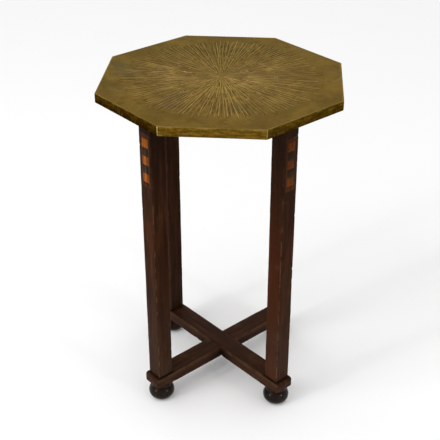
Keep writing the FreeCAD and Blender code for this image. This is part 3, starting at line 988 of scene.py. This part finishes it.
def steel():
    look = Look("screw_steel")
    rust = look.smooth(look.noise(500, 5), 0.45, 0.62)
    colour = look.mix(rust, (0.30, 0.29, 0.28), (0.16, 0.07, 0.03))
    roughness = look.smooth(look.noise(800, 4), 0.3, 0.7, 0.62, 0.38)
    normal = look.bump(look.noise(1500, 3), 0.04 * MM, 0.6)
    return look.finish(Base_Color=colour, Metallic=1.0, Roughness=roughness, Normal=normal)


# ---- woods
def grain_place(look, along, across, scale, turn):
    """The place squeezed across the grain, so that noise on it is drawn out along the grain."""
    return look.moved(tuple(scale * (1 if axis == along else across) for axis in "xyz"), turn)


def wood(name, along, tones, rough=0.42, turn=0.0, pores=1.0, worn=None, shine=0.04, scale=1.0,
         dust=0.0, shade_and_dirt=None, ruddy=None, relief=0.55):
    """Wood whose grain runs along one axis of a frame turned about Z. The three optional mask functions give
    rubbed edges (with a painted sheen high on the bars' sides), painted shade with dirt in the joints, and
    redder wood. relief is how strongly the pores show."""
    look = Look(name)
    dark, _, light = tones
    along_grain = grain_place(look, along, 14, scale, turn)
    broad = look.noise(6, 4, 0.55, along_grain, 0.3)
    figure = look.noise(17, 5, 0.6, along_grain, 0.2)
    fibre = look.noise(60, 3, 0.6, along_grain)
    pore = look.noise(62, 2, 0.4, grain_place(look, along, 26, scale, turn))
    open_pores = look.smooth(pore, 0.60, 0.70, pores)
    shade_of = look.math("ADD", look.times(broad, 0.55), look.times(figure, 0.45))
    grime = look.noise(26, 5)
    roughness = look.smooth(grime, 0.3, 0.7, rough + 0.12, rough - 0.07)
    washes = [(look.smooth(fibre, 0.35, 0.75, 0.35), dark),
              (look.times(open_pores, 0.55), tuple(c * 0.35 for c in dark))]
    if ruddy:
        washes.append((ruddy(look), look.mix(broad, RUDDY_DARK, RUDDY_LIGHT)))
    if dust:
        uneven = look.smooth(grime, 0.3, 0.7, 1.3, 0.5)
        washes.append((look.times(look.smooth(look.z, 0.36, 0.06), uneven, dust), DUSTY))
    # Rubbed edges; on the bars also a painted sheen high on the sides.
    if worn:
        rubbed_and_sheen = worn(look, grime)
        washes.append((rubbed_and_sheen, (1.75 * light[0], 0.016 + 2.2 * light[1], 0.014 + 2.5 * light[2])))
        roughness = look.math("ADD", roughness, look.times(rubbed_and_sheen, 0.08))
    # Painted shade, with dirt in the joints.
    if shade_and_dirt:
        washes.append((shade_and_dirt(look, grime), SHADE_AND_JOINT_DIRT))
    colour = look.washes(look.ramp(shade_of, list(zip((0.34, 0.5, 0.66), tones))), *washes)
    roughness = look.math("ADD", roughness, look.times(open_pores, 0.15), clamp=True)
    height = look.math("SUBTRACT", look.times(fibre, 0.35), open_pores)
    normal = look.bump(height, 0.12 * MM, relief)
    return look.finish(Base_Color=colour, Roughness=roughness, Normal=normal, Specular_IOR_Level=shine)


def stand_folded(look):
    """Distances along and across the stand's nearest diagonal, and along it from the axis of its leg."""
    x, y, _ = look.split(look.moved(turn=STAND_TURN))
    x = look.math("ABSOLUTE", x)
    y = look.math("ABSOLUTE", y)
    along = look.math("MAXIMUM", x, y)
    return along, look.math("MINIMUM", x, y), look.math("ABSOLUTE", look.math("SUBTRACT", along, LEG_RADIUS))


def worn_leg(look, grime):
    """Rubbed arrises, mostly on the outer side and away from the inlay, and a few scuffs."""
    along, across, from_axis = stand_folded(look)
    half = LEG_WIDTH / 2
    edge = look.smooth(look.math("MINIMUM", from_axis, across), half - 2.0 * MM, half - 0.3 * MM)
    broken = look.smooth(look.noise(55, 4), 0.44, 0.60)
    outside = look.smooth(along, LEG_RADIUS - 6 * MM, LEG_RADIUS + 6 * MM, 0.75, 0.3)
    below_inlay = look.smooth(look.z, inlay_low.z + 30 * MM, inlay_low.z - 50 * MM, 1.0, 0.35)
    scuff = look.smooth(grime, 0.60, 0.74, 0.18)
    return look.math("MAXIMUM", look.times(edge, broken, outside, below_inlay), scuff)


def bar_wear_and_sheen(look, grime):
    """Rubbed along the top arris and, more faintly, down the upper half of each side, where the lighter wood
    is also a painted sheen.
    """
    across = stand_folded(look)[1]
    half = BAR_WIDTH / 2
    side = look.smooth(across, half - 2.4 * MM, half - 0.4 * MM)
    # Painted sheen: the upper part of each side is lighter.
    top = look.smooth(look.z, BAR_HIGH - 13 * MM, BAR_HIGH - 2 * MM)
    broken = look.smooth(look.noise(48, 4), 0.34, 0.6, 1.0, 0.25)
    scuff = look.smooth(grime, 0.56, 0.72, 0.2)
    return look.math("MAXIMUM", look.times(side, top, broken, 0.42), scuff)


def worn_foot(look, grime):
    """Rubbed near the floor."""
    return look.times(look.smooth(look.z, 7 * MM, MM), look.smooth(grime, 0.4, 0.65, 0.5))


def ruddy_leg(look):
    """The lower part of the front right leg's left face is redder and cleaner than the rest."""
    corner = LEG_RADIUS / sqrt(2)
    left_face = look.smooth(look.x, corner + 6 * MM, corner - 4 * MM)
    right_half = look.smooth(look.x, 0.0, corner / 2)
    front = look.smooth(look.y, -0.3 * corner, -0.6 * corner)
    return look.times(left_face, right_half, front, look.smooth(look.z, 0.52, 0.32, 0.7))


def uneven_shade_and_dirt(look, grime, *masks):
    """The strongest of several masks of painted shade and dirt, made uneven by the grime."""
    strongest = look.math("MAXIMUM", *masks)
    return look.math("MULTIPLY", strongest, look.smooth(grime, 0.3, 0.7, 1.1, 0.8), clamp=True)


def leg_shade_and_dirt(look, grime):
    """Painted shade under the tray and over all of the back legs, and dirt with painted shade in the last few
    millimetres above the stretcher.
    """
    # Painted shade: darker under the tray and on the back legs.
    shade_under_tray = look.smooth(look.z, LIP_BOTTOM - 240 * MM, LIP_BOTTOM - 5 * MM, 0.72)
    shade_at_back = look.smooth(look.y, 0.02, 0.08, 0.3)
    joint_dirt_and_shade = look.smooth(look.z, BAR_HIGH + 6 * MM, BAR_HIGH + MM, 0.6)
    return uneven_shade_and_dirt(look, grime, shade_under_tray, shade_at_back, joint_dirt_and_shade)


def bar_shade_and_dirt(look, grime):
    """Dirt with painted shade round the legs on the top face, and painted shadow low on the sides near the
    crossing.
    """
    along, across, from_axis = stand_folded(look)
    half = LEG_WIDTH / 2
    on_top = look.smooth(look.z, BAR_HIGH - 2.5 * MM, BAR_HIGH - MM)
    from_leg = look.math("MAXIMUM", from_axis, across)
    # Dirt with painted shade round each leg, and painted shadow near the crossing.
    dirt_and_shade_round_leg = look.smooth(from_leg, half + 7 * MM, half + 2 * MM, 0.66)
    low = look.smooth(look.z, BAR_HIGH - 4 * MM, BAR_HIGH - 15 * MM, 0.9)
    shade_near_crossing = look.smooth(along, 75 * MM, 24 * MM)
    return uneven_shade_and_dirt(look, grime, look.times(on_top, dirt_and_shade_round_leg), look.times(low, shade_near_crossing))


# ---- the materials
BRASS = aged_brass()
SOLDER = plain_brass("solder", (0.28, 0.19, 0.055), 0.34, (0.13, 0.083, 0.02), (0.95, 0.80, 0.38))
TACK_BRASS = plain_brass("tack_brass", (0.45, 0.32, 0.11), 0.36, (0.2, 0.12, 0.045))
STEEL = steel()
LEG_WOOD = wood("leg_wood", "z", OAK, worn=worn_leg, shine=0.022, dust=0.24, shade_and_dirt=leg_shade_and_dirt,
                ruddy=ruddy_leg)
BAR_WOOD = [wood(name, along, OAK, turn=STAND_TURN, worn=bar_wear_and_sheen, shine=0.03, dust=0.12, shade_and_dirt=bar_shade_and_dirt)
            for name, along in (("bar_wood_first", "x"), ("bar_wood_second", "y"))]
RAIL_WOOD = {
    "upper_rail_lower_half": wood("rail_wood_first", "x", RAIL_OAK, 0.6, STAND_TURN),
    "upper_rail_upper_half": wood("rail_wood_second", "y", RAIL_OAK, 0.6, STAND_TURN),
}
BOARD_WOOD = wood("board_wood", "x", PINE, 0.66)
INLAY_WOOD = {}
for name, (rough, pores, tones) in INLAY_WOODS.items():
    INLAY_WOOD[name] = wood(name, "z", tones, rough, pores=pores, shine=0.03, scale=1.6)
FOOT_WOOD = wood("ebonised_wood", "z", EBONISED, 0.13, pores=0.2, worn=worn_foot, shine=0.12, relief=0.04)

# ---- the pieces
place(brass_tray(), "aged_brass", BRASS, "brass_tray_top")
place(rim_seams(), "solder", SOLDER, "rim_corner_seams")
for index, (corner, angle) in enumerate(CORNERS.items()):
    place(leg(corner, angle, 3 + index), "frame_wood", LEG_WOOD, "leg_" + corner)
    place(foot(corner, angle, 20 + index), "ebonised_wood", FOOT_WOOD, "foot_" + corner)
    for kind, slot in INLAY_SLOTS.items():
        darker = slot == "satinwood" and corner not in LIGHTER_CORNERS
        material = INLAY_WOOD["satinwood_dark" if darker else slot]
        node = "inlay_" + kind + "_" + corner
        place(eased_copy(node, kind + "_" + corner, 0.12 * MM), slot, material, node)
place(stretcher_bar("stretcher_first", 225, True, 31), "frame_wood", BAR_WOOD[0], "stretcher_bar_front_left")
place(stretcher_bar("stretcher_second", 315, False, 37), "frame_wood", BAR_WOOD[1],
      "stretcher_bar_front_right")
for node, material in RAIL_WOOD.items():
    place(eased_copy(node, "eased_" + node, 0.6 * MM), "frame_wood", material, node)
for node, material in (("top_board", BOARD_WOOD), ("lip_tacks", TACK_BRASS), ("top_screws", STEEL)):
    cad_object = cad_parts[node]
    cad_object.data.materials.clear()
    cad_object.data.materials.append(material)
    shade(cad_object, 30)


# ---- floor, light and camera
def floor():
    reach = 16.0
    corners = [(-reach, -reach, 0), (reach, -reach, 0), (reach, reach, 0), (-reach, reach, 0)]
    piece = new_object("floor", corners, [(0, 1, 2, 3)])
    look = Look("pale_floor")
    colour = look.mix(look.noise(3, 3, 0.5), (0.955, 0.955, 0.955), (0.975, 0.975, 0.975))
    piece.data.materials.append(look.finish(Base_Color=colour, Roughness=0.9, Specular_IOR_Level=0.1))


def aim(piece, position, direction):
    """Puts a lamp or the camera in its place, looking along a direction."""
    piece.location = position
    piece.rotation_mode = "QUATERNION"
    piece.rotation_quaternion = direction.to_track_quat("-Z", "Y")


def soft_light(name, position, target, size, power):
    data = bpy.data.lights.new(name, "AREA")
    data.shape = "DISK"
    data.size = size
    data.energy = power
    aim(link(name, data), position, Vector(target) - Vector(position))


def studio():
    """An even, pale room that is a little darker at mid height, and three soft lamps."""
    world = bpy.data.worlds.new("studio")
    bpy.context.scene.world = world
    world.use_nodes = True
    room = Nodes(world.node_tree, "Generated")
    greys = ((0.0, 1.0), (0.25, 0.85), (0.5, 0.72), (0.8, 0.80), (1.0, 0.88))
    glow = room.ramp(room.z, [(height, (grey,) * 3) for height, grey in greys])
    background = room.node("Background")
    room.fill(background, Color=glow, Strength=1.125)
    room.fill(room.node("OutputWorld"), Surface=background.outputs[0])
    soft_light("key", (-1.7, -1.3, 2.6), (0, 0, 0.4), 1.6, 22)
    soft_light("low_left", (-1.9, -1.6, 0.95), (0, 0, 0.1), 0.28, 10)
    soft_light("low_right", (2.0, -1.5, 0.95), (0, 0, 0.1), 0.28, 7)
    bpy.context.scene.view_settings.view_transform = "Standard"


CAMERA_TARGET = Vector((-0.004, 0.0, 0.355))
CAMERA_DISTANCE = 1.9415
CAMERA_AZIMUTH = radians(4.511)
CAMERA_ELEVATION = radians(30.437)
CAMERA_LENS = 79.76


def camera():
    data = bpy.data.cameras.new("camera")
    data.lens = CAMERA_LENS
    data.sensor_width = 36
    data.clip_end = 60
    piece = link("camera", data)
    level = cos(CAMERA_ELEVATION)
    back = Vector((sin(CAMERA_AZIMUTH) * level, -cos(CAMERA_AZIMUTH) * level, sin(CAMERA_ELEVATION)))
    aim(piece, CAMERA_TARGET + back * CAMERA_DISTANCE, -back)
    bpy.context.scene.camera = piece


floor()
studio()
camera()
